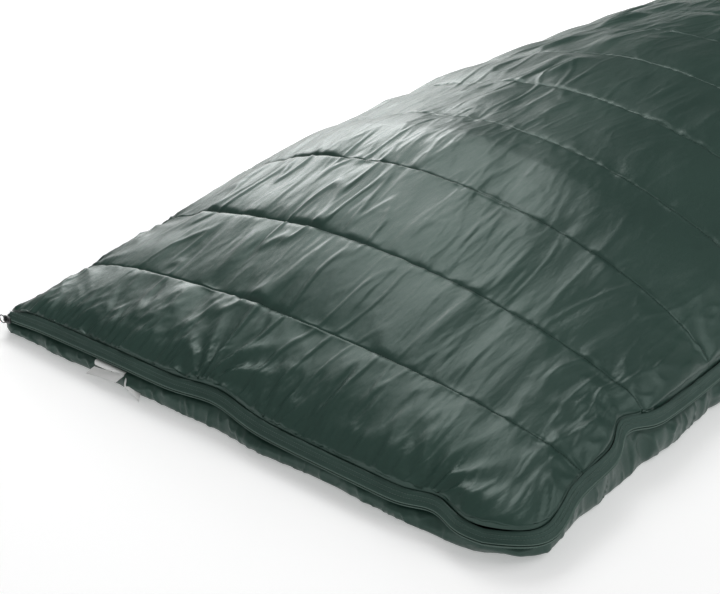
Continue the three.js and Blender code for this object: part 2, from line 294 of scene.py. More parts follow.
# ---- stage ----
def area_light(name, place, target, size, power):
    data = bpy.data.lights.new(name, "AREA")
    data.shape = "RECTANGLE"
    data.size, data.size_y = size
    data.energy = power
    light = bpy.data.objects.new(name, data)
    light.location = place
    aim = Vector(target) - Vector(place)
    light.rotation_euler = aim.to_track_quat("-Z", "Y").to_euler()
    bpy.context.collection.objects.link(light)


def faded(tree, view, towards, span, levels):
    """Goes from the first level to the second as the view turns towards a direction."""
    facing = add_node(tree, "VectorMath", {"operation": "DOT_PRODUCT"}, {0: view, 1: towards})
    return ranged(tree, facing.outputs["Value"], *levels, *span)


def make_stage():
    bpy.ops.mesh.primitive_plane_add(size=16, location=(0, 0, 0))
    floor = bpy.context.object
    floor.name = "floor"
    material, _tree, shader = new_material("floor")
    shader.inputs["Base Color"].default_value = (0.93, 0.93, 0.93, 1)
    shader.inputs["Roughness"].default_value = 0.9
    shader.inputs["Emission Color"].default_value = (1, 1, 1, 1)
    shader.inputs["Emission Strength"].default_value = 0.33
    floor.data.materials.append(material)
    world = bpy.data.worlds.new("studio")
    bpy.context.scene.world = world
    world.use_nodes = True
    background = world.node_tree.nodes["Background"]
    background.inputs["Color"].default_value = (1, 1, 1, 1)
    tree = world.node_tree
    view = add_node(tree, "TexCoord").outputs["Generated"]
    behind = faded(tree, view, (-0.42, 0.87, 0.26), (0.60, 0.98), (0.35, 0.09))
    left = faded(tree, view, (-0.79, 0.27, 0.55), (0.72, 0.98), (1.0, 0.30))
    glow = add_node(tree, "Math", {"operation": "MULTIPLY"}, {0: behind, 1: left})
    tree.links.new(glow.outputs["Value"], background.inputs["Strength"])
    area_light("back_left", (-2.75, 1.35, 1.12), (-0.2, -0.4, 0.1), (1.4, 0.9), 25)
    area_light("back_left_halo", (-2.85, 1.40, 1.15), (-0.2, -0.4, 0.1), (2.4, 1.4), 20)
    area_light("overhead", (-1.3, 0.45, 2.5), (0, -0.5, 0), (1.4, 1.4), 17)
    area_light("overhead_halo", (-1.35, 0.55, 2.6), (0, -0.5, 0), (2.7, 2.5), 22)
    area_light("right_fill", (2.6, 0.2, 2.6), (0.2, -0.4, 0), (2.4, 2.4), 32)
    bpy.context.scene.view_settings.view_transform = "Standard"


make_stage()


# ---- meshes ----
def mesh_object(name, vertices, faces, material):
    faces = faces if isinstance(faces, list) else faces.tolist()
    mesh = bpy.data.meshes.new(name)
    mesh.from_pydata(np.asarray(vertices).tolist(), [], faces)
    mesh.materials.append(material)
    mesh.polygons.foreach_set("use_smooth", [True] * len(mesh.polygons))
    mesh.update()
    thing = bpy.data.objects.new(name, mesh)
    bpy.context.collection.objects.link(thing)
    return thing


def grid_faces(rows, columns, start=0, closed=False):
    """Quads of a grid whose columns join up when closed."""
    wide = columns if closed else columns - 1
    i, j = np.meshgrid(np.arange(rows - 1), np.arange(wide), indexing="ij")
    right = (j + 1) % columns
    quads = [i * columns + j, i * columns + right, (i + 1) * columns + right, (i + 1) * columns + j]
    return np.stack(quads, -1).reshape(-1, 4) + start


def joined(name, parts, material):
    """One object from several (vertices, quads) parts."""
    vertices, faces, count = [], [], 0
    for points, quads in parts:
        points = np.asarray(points).reshape(-1, 3)
        vertices.append(points)
        faces.append(np.asarray(quads) + count)
        count += len(points)
    return mesh_object(name, np.concatenate(vertices), np.concatenate(faces), material)


# ---- how the real edge wanders ----
# Each row: where it is, how far it reaches across X and Y, and where it moves the cloth.
WANDERS = [
    ((LEFT, ZIP_Y), (0.05, 0.06), (0.0, 0.0, -0.005)),
    ((LEFT + 0.27, ZIP_Y), (0.16, 0.06), (0.0, 0.0, 0.006)),
    ((LEFT + 0.38, ZIP_Y), (0.05, 0.05), (0.0, 0.008, 0.006)),
    ((LEFT + 0.70, ZIP_Y), (0.028, 0.05), (0.0, 0.012, 0.002)),
    ((ZIP_X - 0.024, ZIP_Y + 0.042), (0.08, 0.043), (0.013, -0.011, -0.005)),
    ((ZIP_X, ZIP_Y + 0.062), (0.08, 0.030), (0.003, 0.0, -0.009)),
    ((ZIP_X, ZIP_Y + 0.232), (0.05, 0.030), (-0.016, 0.0, 0.006)),
    ((ZIP_X, ZIP_Y + 0.255), (0.06, 0.080), (0.0, 0.0, 0.007)),
    ((ZIP_X, ZIP_Y + 0.62), (0.05, 0.060), (-0.007, 0.0, 0.004)),
    ((ZIP_X, ZIP_Y + 1.10), (0.05, 0.080), (-0.006, 0.0, 0.003)),
    ((ZIP_X, ZIP_Y + 1.62), (0.05, 0.070), (-0.006, 0.0, 0.003)),
]
WANDER_FULL = 0.025  # height from which the cloth moves all the way


def wandered(points):
    points = np.array(points, float)
    start = points.copy()
    free = smooth(start[..., 2] / WANDER_FULL)
    for (x, y), (reach_x, reach_y), move in WANDERS:
        near = bell((start[..., 0] - x) / reach_x) * bell((start[..., 1] - y) / reach_y) * free
        points += near[..., None] * np.array(move)
    return points


# ---- the quilts' plan ----
def right_at(v):
    up = np.maximum(0.0, CORNER - v)
    return RIGHT - CORNER + np.sqrt(np.maximum(CORNER**2 - up**2, 0.0))


def across_share(x, v):
    return clamp01((x - LEFT) / (right_at(v) - LEFT))


def edge_distance(x, v):
    """From the foot, the sides and the round corner. The head's edge doesn't count."""
    inside = np.minimum(np.minimum(x - LEFT, RIGHT - x), v)
    corner = CORNER - np.hypot(x - (RIGHT - CORNER), v - CORNER)
    in_corner = (x > RIGHT - CORNER) & (v < CORNER)
    return np.maximum(0.0, np.where(in_corner, np.minimum(corner, inside), inside))


def foot_plan(u, t):
    """The first channel's points. The grid's own corner lies in the middle of the round one."""
    half = CORNER * math.pi / 4
    straight = RIGHT - CORNER - LEFT
    far = u * (straight + half)
    turn = np.maximum(0.0, far - straight) / CORNER
    foot = stacked(LEFT + np.minimum(far, straight) + CORNER * np.sin(turn), CORNER * (1 - np.cos(turn)))
    up = t * (half + SEAMS[1] - CORNER)
    turn = math.pi / 4 + np.minimum(up, half) / CORNER
    rise = CORNER * (1 - np.cos(turn)) + np.maximum(0.0, up - half)
    right = stacked(RIGHT - CORNER + CORNER * np.sin(turn), rise)
    seam = stacked(mix(LEFT, RIGHT, u), SEAMS[1] + 0 * u)
    left = stacked(LEFT + 0 * t, t * SEAMS[1])
    first = np.array([LEFT, 0.0])
    middle = np.array([RIGHT - CORNER * (1 - math.sqrt(0.5)), CORNER * (1 - math.sqrt(0.5))])
    last, outer = np.array([LEFT, SEAMS[1]]), np.array([RIGHT, SEAMS[1]])
    u, t = u[..., None], t[..., None]
    flat = mix(mix(first, middle, u), mix(last, outer, u), t)
    return mix(foot, seam, t) + mix(left, right, u) - flat


def plan(channel, t, u):
    """x, and the distance v from the foot, of points t of the way along each channel."""
    t, u = np.broadcast_arrays(np.asarray(t, float), np.asarray(u, float))
    near = foot_plan(u, t)
    is_first = channel == 0
    x = np.where(is_first, near[..., 0], mix(LEFT, RIGHT, u))
    v = np.where(is_first, near[..., 1], mix(SEAMS[channel], SEAMS[channel + 1], t))
    return x, v


def even_rows(per_channel):
    """(channel, share) of each row, the last channel's end included."""
    rows = [(k, i / per_channel) for k in range(CHANNELS) for i in range(per_channel)]
    return rows + [(CHANNELS - 1, 1.0)]


def seam_rows(spacing, close=(0.0008, 0.0018, 0.0032, 0.0052)):
    """Rows that crowd together along the stitch lines."""
    rows = []
    for k in range(CHANNELS):
        size = SEAMS[k + 1] - SEAMS[k]
        ends = np.array([0.0, *close])
        count = round((size - 2 * close[-1]) / spacing)
        middle = np.linspace(close[-1], size - close[-1], count + 1)[1:-1]
        rows += [(k, s / size) for s in [*ends, *middle, *(size - ends[:0:-1])]]
    return rows + [(CHANNELS - 1, 1.0)]


def grid_plan(rows, columns):
    channel, share = np.array([k for k, _ in rows])[:, None], np.array([t for _, t in rows])[:, None]
    u = np.linspace(0, 1, columns)[None]
    return plan(channel, share, u)


# ---- heights ----
def zip_height(x, v):
    turn = np.arccos(clamp01((CORNER - v) / CORNER)) / (math.pi / 2)
    return mix(FOOT_Z, mix(FOOT_Z, SIDE_Z, smooth(turn)), across_share(x, v))


def on_zip(x, v):
    """0 along the fold, where no tape parts the quilts, and 1 elsewhere."""
    return smooth(across_share(x, v) / 0.04)


def crown_at(v):
    climb = 1 - (1 - np.minimum(v / FOOT_RISE, 1)) ** FOOT_CURVE
    fall = smooth((v - FALL_START) / (LENGTH - FALL_START))
    return CROWN * climb * (1 - HEAD_DROP * fall)


def side_rise(x, v):
    return arch(across_share(x, v) ** CROWN_SHIFT, CROWN_POWER, CROWN_ROUND)


def channel_loft(v, power):
    """0 on a stitch line and 1 in the middle of a channel."""
    k = np.clip(np.searchsorted(SEAMS, v, side="right") - 1, 0, CHANNELS - 1)
    return arch((v - SEAMS[k]) / (SEAMS[k + 1] - SEAMS[k]), power, 1)


def seam_distance(v):
    return np.abs(np.asarray(v)[..., None] - SEAMS[1:-1]).min(-1)


def seam_dents(x, v):
    """The stitch lines draw both sides of the quilt in."""
    near_side = bell((x - LEFT) / 0.06) + 0.6 * bell((x - RIGHT) / 0.05)
    return DENT * near_side * bell(seam_distance(v) / 0.020)


def top_height(x, v):
    line = zip_height(x, v) + TAPE_TOP * on_zip(x, v)
    side = side_rise(x, v)
    edge = edge_distance(x, v)
    dent = np.minimum(seam_dents(x, v), crown_at(v) * side * 0.5)
    taut = 1 - 0.95 * bell(v / 0.14) * bell((across_share(x, v) - 0.1) / 0.35)
    puff = PUFF * channel_loft(v, 2.4) * np.minimum(1, side * 2) * taut
    return line + SEWN * quarter(edge / HEM) + crown_at(v) * side + puff - dent


# ---- cloth simulation ----
REST_SCALE = (1.10, 1.03, 1.10)
PRESSURE, FRAMES, MOVE_CAP = 5, 22, 0.03
BLUR_REACH, BLUR_SPREAD = 30, 11.0  # columns over which the broad pillow shape is found


def cloth_inflate(thing, pinned):
    """Blows the cloth up against its pinned points, from a rest shape cut larger than the form."""
    group = thing.vertex_groups.new(name="pinned")
    group.add(np.flatnonzero(pinned).tolist(), 1.0, "REPLACE")
    thing.shape_key_add(name="Basis")
    rest = thing.shape_key_add(name="rest")
    start = np.empty(len(thing.data.vertices) * 3)
    thing.data.vertices.foreach_get("co", start)
    rest.data.foreach_set("co", (start.reshape(-1, 3) * np.array(REST_SCALE)).ravel())
    rest.value = 0.0
    cloth = thing.modifiers.new("cloth", "CLOTH")
    settings = cloth.settings
    settings.rest_shape_key = rest
    settings.quality = 6
    settings.mass = 0.12
    settings.tension_stiffness = settings.compression_stiffness = 40
    settings.shear_stiffness = 4
    settings.bending_stiffness = 0.2
    settings.tension_damping = settings.compression_damping = 5
    settings.air_damping = 1
    settings.vertex_group_mass = "pinned"
    settings.pin_stiffness = 1
    settings.use_pressure = True
    settings.uniform_pressure_force = PRESSURE
    settings.effector_weights.gravity = 0
    cloth.collision_settings.use_collision = False
    cloth.collision_settings.use_self_collision = False
    cloth.point_cache.frame_start = 1
    cloth.point_cache.frame_end = FRAMES
    scene = bpy.context.scene
    for number in range(1, FRAMES + 1):
        scene.frame_set(number)
    evaluated = thing.evaluated_get(bpy.context.evaluated_depsgraph_get())
    shape = evaluated.to_mesh()
    end = np.empty(len(shape.vertices) * 3)
    shape.vertices.foreach_get("co", end)
    evaluated.to_mesh_clear()
    scene.frame_set(1)
    move = (end - start).reshape(-1, 3)
    far = np.linalg.norm(move, axis=1)
    return move * (np.minimum(far, MOVE_CAP) / np.maximum(far, 1e-9))[:, None]


def simulated_relief():
    """How far each point of a coarse top shell moves when its channels are filled."""
    rows = even_rows(COARSE_ROWS)
    shape = (len(rows), COARSE_COLUMNS + 1)
    x, v = grid_plan(rows, shape[1])
    pinned = np.zeros(shape, bool)
    pinned[::COARSE_ROWS] = True
    pinned[:, [0, -1]] = True
    inner = np.minimum(1, edge_distance(x, v) / 0.06) * ~pinned
    mask = smooth(0.5 + 0.5 * sample(PATCHES, x, v - 1))
    seed = 0.003 * sample(FOLDS, x, v - 1) * mask + 0.0012 * sample(CREASES, x, v - 1)
    z = top_height(x, v) + seed * inner * channel_loft(v, 2.0)
    patch = mesh_object("filling_test", stacked(x, FOOT + v, z).reshape(-1, 3), grid_faces(*shape), SHELL)
    relief = cloth_inflate(patch, pinned.ravel())
    bpy.data.objects.remove(patch)
    relief = relief.reshape(*shape, 3)
    reach = np.arange(-BLUR_REACH, BLUR_REACH + 1)
    blur = np.exp(-0.5 * (reach / BLUR_SPREAD) ** 2)
    blur /= blur.sum()
    padded = np.pad(relief, ((0, 0), (BLUR_REACH, BLUR_REACH), (0, 0)), mode="edge")
    bulk = sum(w * padded[:, k : k + shape[1]] for k, w in enumerate(blur.tolist()))
    return relief - BULK_OUT * bulk


def hem_roll(x, v):
    """How far the filled edge rolls out over the zip and down, at each plan point."""
    edge = edge_distance(x, v)
    slack = 0.75 + 0.25 * clamp01(0.5 + 0.5 * sample(LUMPS, x, v - 1)) + 0.25 * bell((x - LEFT) / 0.3)
    slack = slack + 0.10 * sample(GATHERS, x, v - 1)
    out = HEM_OUT * slack * smooth(edge / 0.009) * (1 - smooth((edge - 0.007) / 0.034))
    down = HEM_DOWN * slack * smooth(edge / 0.008) * (1 - smooth((edge - 0.006) / 0.022))
    at_fold = bell((x - LEFT) / 0.035) * smooth(v / 0.05)
    return out * (1 - at_fold), down


def outward(x, v):
    """Unit directions in plan, from inside to the nearest part of the foot, side or fold."""
    corner_x, corner_v = x - (RIGHT - CORNER), v - CORNER
    span = np.maximum(np.hypot(corner_x, corner_v), 1e-6)
    in_corner = (corner_x > 0) & (corner_v < 0)
    to_side = bell((RIGHT - x) / 0.02) - bell((x - LEFT) / 0.02)
    to_foot = -bell(v / 0.02)
    long = np.maximum(np.hypot(to_side, to_foot), 1.0)
    flat_x = np.where(in_corner, corner_x / span, to_side / long)
    flat_v = np.where(in_corner, corner_v / span, to_foot / long)
    return stacked(flat_x, flat_v)


def cubic(field, at, start, end):
    """Rows start to end of a field at fractional rows, smooth inside and free at both ends."""
    i = np.clip(np.floor(at).astype(int), start, end - 1)
    f = (at - i)[:, None, None]

    def row(j):
        low, high = 2 * field[start] - field[start + 1], 2 * field[end] - field[end - 1]
        inner = field[np.clip(j, start, end)]
        j = j[:, None, None]
        return np.where(j < start, low, np.where(j > end, high, inner))

    a, b, c, d = row(i - 1), row(i), row(i + 1), row(i + 2)
    return b + 0.5 * f * (c - a + f * (2 * a - 5 * b + 4 * c - d + f * (3 * (b - c) + d - a)))


def relief_on(relief, rows, columns):
    """The relief on another grid. It keeps its crease along every stitch line."""
    parts = []
    for k in range(CHANNELS):
        at = np.array([(j + t) * COARSE_ROWS for j, t in rows if j == k])
        parts.append(cubic(relief, at, k * COARSE_ROWS, (k + 1) * COARSE_ROWS))
    tall = np.concatenate(parts).swapaxes(0, 1)
    return cubic(tall, np.linspace(0, COARSE_COLUMNS, columns), 0, COARSE_COLUMNS).swapaxes(0, 1)


# ---- wrinkles ----
def ridge(field, x, y, width):
    """Sharp lines that wind through the noise, where it crosses zero."""
    return bell(sample(field, x, y) / width)


def fan(x, v, at, start, count, reach):
    """Creases that spread out from one point."""
    away = np.hypot(x - at, v - start)
    angle = np.arctan2(x - at, v - start + 0.004)
    phase = count * angle + 1.7 * sample(LUMPS, x, v - 1)
    sharp = 1 - 2 * np.abs(np.sin(phase / 2)) ** 0.8
    return (0.4 * np.cos(phase) + 0.8 * sharp) * bell(away / reach) * smooth(away / 0.012)


# Creases that spread from where the zip or a seam pinches the cloth: x, v, how many, how far, how high.
FANS = [
    (LEFT + 0.10, 0.0, 11, 0.05, 0.0010),
    (LEFT + 0.19, -0.01, 13, 0.06, 0.0012),
    (LEFT + 0.36, 0.0, 14, 0.085, 0.0028),
    (LEFT + 0.47, -0.02, 17, 0.07, 0.0022),
    (LEFT + 0.69, 0.0, 12, 0.06, 0.0022),
    (RIGHT, 0.215, 9, 0.10, 0.0011),
    (RIGHT, 0.62, 9, 0.07, 0.0010),
    (LEFT, SEAMS[1], 10, 0.07, 0.0020),
    (LEFT, SEAMS[2], 10, 0.08, 0.0024),
    (LEFT, SEAMS[3], 10, 0.07, 0.0018),
    (RIGHT, SEAMS[1], 9, 0.06, 0.0009),
    (RIGHT, SEAMS[3], 9, 0.07, 0.0008),
]


def wrinkles(x, v, turned=1.0):
    """Height of the cloth's own folds, in metres. turned = -1 gives another layer's."""
    y = (v - 1) * turned
    bent = x + 0.020 * sample(DRIFT, x, y)
    taut = smooth(0.55 + 0.45 * sample(PATCHES, x, y))
    gap = seam_distance(v)
    edge = edge_distance(x, v)
    free = smooth(edge / 0.005)
    hem_near = bell((edge - 0.006) / 0.03)
    share = (x - LEFT) / WIDTH
    calm = 1 - 0.8 * bell((share - 0.10) / 0.20) * bell((v - 0.06) / 0.13)
    far = smooth((v - 0.55) / 0.40)
    satin = (1 - 0.5 * smooth((share - 0.45) / 0.35)) * (1 - 0.62 * far)
    lively = 1 + 0.35 * bell((share - 0.38) / 0.3) * (1 - far)
    long_folds = 0.0011 * sample(FOLDS, bent, y) * (0.4 + 0.6 * taut) * calm * (1 - 0.35 * far) * lively
    long_ridges = 0.0022 * ridge(CREASES, bent, y, 0.27) * taut * calm * satin * lively
    short_ridges = 0.0008 * ridge(FINE_CREASES, bent, y, 0.35) * (1 - 0.5 * taut) * calm * satin
    near_foot = bell((v - 0.02) / 0.06) * smooth((0.75 - share) / 0.2)
    crumpled = 0.0013 * ridge(CRUMPLE, x, y, 0.35) * near_foot
    by_seam = bell(gap / 0.026) * smooth(gap / 0.006)
    gathers = 0.0008 * sample(GATHERS, x, y) * by_seam * (1 - 0.5 * far) * calm
    puckers = 0.0003 * sample(PUCKERS, x, y) * bell(gap / 0.008)
    pleats = 0.0021 * ridge(PLEATS, x, y, 0.40) * bell((edge - 0.016) / 0.034)
    hem = (0.0008 * sample(GATHERS, x, y) + 0.0005 * sample(PUCKERS, x, y)) * hem_near + pleats
    broad = 0.0016 * sample(LUMPS, x, y) * calm
    fans = sum(size * fan(x, v, at, start, count, reach) for at, start, count, reach, size in FANS)
    stitched = 0.35 + 0.65 * smooth(gap / 0.007)
    soft = (long_folds + long_ridges + short_ridges + crumpled + broad) * free * stitched
    return soft + gathers + puckers + (hem + fans * (turned > 0)) * free


def stitch_groove(v):
    """Depth of the sharp valley that the stitches pull."""
    gap = seam_distance(v)
    return 0.0008 * bell(gap / 0.0011) + 0.0003 * bell(gap / 0.004)


# ---- stitches ----
def stitch_line(points, pitch, long, thick):
    """A row of small thread beads along a line of points."""
    points = np.asarray(points)
    steps = np.linalg.norm(np.diff(points, axis=0), axis=1)
    run = np.concatenate([[0.0], np.cumsum(steps)])
    at = np.arange(pitch / 2, run[-1], pitch)

    def place(s):
        return np.stack([np.interp(s, run, points[:, k]) for k in range(3)], -1)

    middle = place(at)
    ahead = place(at + long / 2) - place(at - long / 2)
    ahead /= np.maximum(np.linalg.norm(ahead, axis=1), 1e-9)[:, None]
    side = np.cross(ahead, (0, 0, 1.0))
    side /= np.maximum(np.linalg.norm(side, axis=1), 1e-9)[:, None]
    up = np.cross(side, ahead)
    rings = []
    for share, girth in ((-1.0, 0.25), (-0.72, 0.85), (0.0, 1.0), (0.72, 0.85), (1.0, 0.25)):
        for quarter_turn in range(4):
            angle = math.pi / 4 + quarter_turn * math.pi / 2
            off = side * math.cos(angle) + up * math.sin(angle)
            rings.append(middle + ahead * (share * long / 2) + off * (girth * thick / 2))
    vertices = np.stack(rings, 1)
    one = np.concatenate([grid_faces(5, 4, closed=True), [[3, 2, 1, 0], [16, 17, 18, 19]]])
    faces = (one[None] + 20 * np.arange(len(at))[:, None, None]).reshape(-1, 4)
    return vertices.reshape(-1, 3), faces


# ---- shells and linings ----
RELIEF = simulated_relief()


def quilt_face(name, rows, columns, height, material, turned=1.0, depth=1.0, flip=False, rolled=False):
    """One face of a quilt as a fine grid. It returns the piece and its points in grid order."""
    x, v = grid_plan(rows, columns)
    relief = relief_on(RELIEF, rows, columns)
    if turned < 0:
        relief = relief[:, ::-1] * np.array([-1.0, 1.0, 1.0])
    z = height(x, v) + depth * (wrinkles(x, v, turned) * smooth(edge_distance(x, v) / 0.004 + 0.25))
    z = z - depth * stitch_groove(v) * smooth(edge_distance(x, v) / 0.01)
    points = stacked(x, FOOT + v, z) + depth * relief
    if rolled:
        out, down = hem_roll(x, v)
        points[..., :2] += outward(x, v) * out[..., None]
        points[..., 2] -= down * on_zip(x, v)
    points = wandered(points)
    faces = grid_faces(len(rows), columns)
    piece = mesh_object(name, points.reshape(-1, 3), faces[:, ::-1] if flip else faces, material)
    return piece, points


def seam_stitches(name, points, rows, material, lift):
    """Thread along every stitch line of a face."""
    parts = []
    for i, (k, share) in enumerate(rows):
        if share == 0 and k > 0:
            parts.append(stitch_line(points[i] + np.array([0, 0, lift]), *SEAM_STITCH))
    return joined(name, parts, material)


TOP_ROWS = seam_rows(0.005)
top_shell, top_points = quilt_face("top_shell_cloth", TOP_ROWS, FINE_COLUMNS, top_height, SHELL, rolled=True)
top_stitches = seam_stitches("top_seam_stitches", top_points, TOP_ROWS, SEAM_THREAD, 0.0002)


def top_lining_height(x, v):
    side = side_rise(x, v)
    line = zip_height(x, v) + TAPE_TOP * on_zip(x, v) + crown_at(v) * side
    return line + PUFF * channel_loft(v, 2.4) * side - (TOP_LOFT - SEWN) * channel_loft(v, 2.2) * side


def bottom_lining_height(x, v):
    side = side_rise(x, v)
    curl = (1 - clamp01(edge_distance(x, v) / TUCK)) ** 1.5
    line = zip_height(x, v) - TAPE_LOW * on_zip(x, v) - SEWN
    return line * curl + SEWN + (BOTTOM_LOFT - SEWN) * channel_loft(v, 2.2) * side


LINING_ROWS = seam_rows(0.010, (0.0015, 0.0035))
LINING_COLUMNS = 240
top_lining, top_lining_points = quilt_face(
    "top_lining_cloth", LINING_ROWS, LINING_COLUMNS, top_lining_height, LINING, -1.0, -0.6, flip=True
)
bottom_lining, bottom_lining_points = quilt_face(
    "bottom_lining_cloth", LINING_ROWS, LINING_COLUMNS, bottom_lining_height, LINING, -1.0, 0.6
)
lining_stitches = seam_stitches("top_lining_stitches", top_lining_points, LINING_ROWS, SEAM_THREAD, -0.0002)
bottom_stitches = seam_stitches(
    "bottom_lining_stitches", bottom_lining_points, LINING_ROWS, SEAM_THREAD, 0.0002
)


# ---- paths round the quilts' edges ----
def edge_path(left, right, foot, radius, head, step, from_fold=False):
    """Evenly spaced (x, y) and outward directions: along the foot, round the corner, up the side.

    from_fold starts it at the head and brings it down the folded side first."""
    corner = (right - radius, foot + radius)
    turns = np.linspace(0, math.pi / 2, 60)
    arc = [(corner[0] + radius * math.sin(a), corner[1] - radius * math.cos(a)) for a in turns]
    points = [(left, foot), *arc, (right, head)]
    if from_fold:
        small = 0.012
        turns = np.linspace(math.pi, math.pi * 1.5, 12)
        small_arc = [(left + small + small * math.cos(a), foot + small + small * math.sin(a)) for a in turns]
        points = [(left, head), *small_arc, *arc, (right, head)]
    points = np.array(points)
    run = np.concatenate([[0], np.cumsum(np.linalg.norm(np.diff(points, axis=0), axis=1))])
    at = np.linspace(0, run[-1], round(run[-1] / step) + 1)
    place = np.stack([np.interp(at, run, points[:, k]) for k in range(2)], -1)
    ahead = np.gradient(place, axis=0)
    ahead /= np.linalg.norm(ahead, axis=1)[:, None]
    return place, stacked(ahead[:, 1], -ahead[:, 0])


def path_heights(place):
    v = np.maximum(0.0, place[:, 1] - FOOT)
    x = np.clip(place[:, 0], LEFT, right_at(v))
    return zip_height(x, v)


def swept(place, out, z, section):
    """Points of a section of (out, up) carried along a path; section may differ by station."""
    section = np.broadcast_to(section, (len(place), *np.shape(section)[-2:]))
    flat = place[:, None] + out[:, None] * section[..., :1]
    return np.concatenate([flat, (z[:, None] + section[..., 1])[..., None]], -1)


def strip_part(points, closed):
    rows, columns = points.shape[:2]
    faces = grid_faces(rows, columns, closed=closed)
    return wandered(points).reshape(-1, 3), faces


# ---- bottom shell: a wall that rolls under all round, and the flat underside ----
def wall_section(p, hem_z, bulge):
    """Bezier from the hem, out and down, to the ground; then flat inwards."""
    t = clamp01(p / WALL_SHARE)
    out = 3 * t * (1 - t) * bulge - 0.004 * t**3
    up = hem_z * ((1 - t) ** 3 + 3 * t * (1 - t) ** 2 * 0.92 + 3 * t**2 * (1 - t) * 0.04)
    inward = np.maximum(0.0, p - WALL_SHARE) / (1 - WALL_SHARE)
    return out - 0.030 * inward, up


def bottom_wall():
    place, out = edge_path(LEFT, RIGHT, FOOT, CORNER, HEAD, 0.0022, from_fold=True)
    z = path_heights(place)
    v = np.maximum(0.0, place[:, 1] - FOOT)
    fold = place[:, 0] < LEFT + 0.0005
    taped = smooth((place[:, 0] - LEFT) / 0.03)
    hem_z = z - TAPE_LOW * taped - 0.0003
    p = np.concatenate([np.linspace(0, WALL_SHARE, 22), [0.86, 0.93, 1.0]])
    along = np.cumsum(np.linalg.norm(np.diff(place, axis=0, prepend=place[:1]), axis=1))
    at_seam = np.where((v > SEAMS[1] / 2) & (v < LENGTH), bell(seam_distance(v) / 0.012), 0.0)
    thick = 0.0145 * (1 + 0.22 * sample(LUMPS, along, 0.3)) * (1 - 0.55 * at_seam)
    at_corner = bell((place[:, 0] - RIGHT) / 0.14) * bell((place[:, 1] - FOOT) / 0.12)
    thick = np.where(fold, thick * 0.06, thick * (1 - 0.75 * at_corner))
    o, up = wall_section(p[None], hem_z[:, None], thick[:, None])
    body = np.sin(math.pi * clamp01(p / WALL_SHARE))[None]
    upper = bell((p - 0.12) / 0.2)[None]
    folds = 0.0022 * ridge(CREASES, along[:, None], 0.4 + 0.6 * p[None] * 0.05, 0.35)
    folds = folds + 0.0011 * sample(FOLDS, along[:, None], 0.8 + 0.02 * p[None])
    small = 0.0009 * sample(GATHERS, along[:, None], 0.1 + 0.01 * p[None]) * (upper + 0.4 * body)
    crumpled = ridge(CRUMPLE, along[:, None] * 1.3, 0.3 + 0.05 * p[None], 0.32)
    body = body * np.where(fold, 0.1, 1.0)[:, None]
    small = small * np.where(fold, 0.1, 1.0)[:, None]
    folds = folds * 0.7 + (0.0021 * crumpled - 0.0007) * (1 - 0.6 * at_corner[:, None])
    o = o + folds * body + small * np.minimum(1, p * 8)[None]
    up = up + at_seam[:, None] * 0.004 * body
    points = swept(place, out, np.zeros(len(place)), np.stack([o, np.maximum(up, 0.0004)], -1))
    return strip_part(points, closed=False)


def underside():
    """The flat sheet that the quilt lies on, with its stitch lines drawn up."""
    rows, columns = even_rows(10), 60
    x, v = grid_plan(rows, columns)
    inset = 0.012
    x = LEFT + inset + (x - LEFT) * (WIDTH - 2 * inset) / WIDTH
    v = inset + v * (LENGTH - inset) / LENGTH
    z = 0.0008 + 0.003 * bell(seam_distance(v) / 0.02) * smooth(edge_distance(x, v) / 0.04)
    faces = grid_faces(len(rows), columns)[:, ::-1]
    return stacked(x, FOOT + v, z).reshape(-1, 3), faces


bottom_shell = joined("bottom_shell_cloth", [bottom_wall(), underside()], SHELL)


# ---- zip ----
ZIP_HEAD = COIL_HIGH[1]
ZIP_STEP = 0.003
zip_place, zip_out = edge_path(COIL_LOW[0], ZIP_X, ZIP_Y, ZIP_CORNER, ZIP_HEAD, ZIP_STEP)
zip_z = path_heights(zip_place)
TAPE_FACE = [(-0.1, 0.35), (1.3, 0.5), (2.1, 1.3), (1.9, 2.3), (0.8, 3.2), (-0.5, 3.9), (-2.6, 7.2),
             (-4.6, 10.2), (-7.2, 14.2)]
TAPE_BACK = [(-8.0, 13.7), (-5.4, 9.8), (-3.4, 6.8), (-1.7, 4.2), (-1.7, 3.2), (-1.6, 0.5)]
LOW_FACE = [(-0.1, 0.35), (1.3, 0.5), (2.1, 1.3), (1.9, 2.3), (0.8, 3.2), (-0.8, 4.2), (-4.2, 6.2),
            (-8.6, 8.4)]
LOW_BACK = [(-8.9, 7.7), (-4.8, 5.5), (-2.2, 3.9), (-1.7, 3.1), (-1.6, 0.5)]


def tape(name, section, side):
    """One zip tape; side is 1 above the coils and -1 below."""
    section = np.array(section) * MM * np.array([1, side])
    run = np.arange(len(zip_place)) * ZIP_STEP
    wave = 0.35 * MM * sample(GATHERS, run, 0.5)
    lift = np.abs(section[:, 1]) / 0.014
    grown = mix(0.35, 1.0, smooth(run / 0.035))[:, None]
    above = np.maximum(np.abs(section[:, 1]) - 0.0037, 0) * side
    sections = np.stack([section[:, 0] + wave[:, None] * lift, section[:, 1] - above * (1 - grown)], -1)
    vertices, faces = strip_part(swept(zip_place, zip_out, zip_z, sections), closed=True)
    return mesh_object(name, vertices, faces if side > 0 else faces[:, ::-1], TAPE)


top_tape = tape("top_zip_tape_cloth", TAPE_FACE + TAPE_BACK, 1)
bottom_tape = tape("bottom_zip_tape_cloth", LOW_FACE + LOW_BACK, -1)


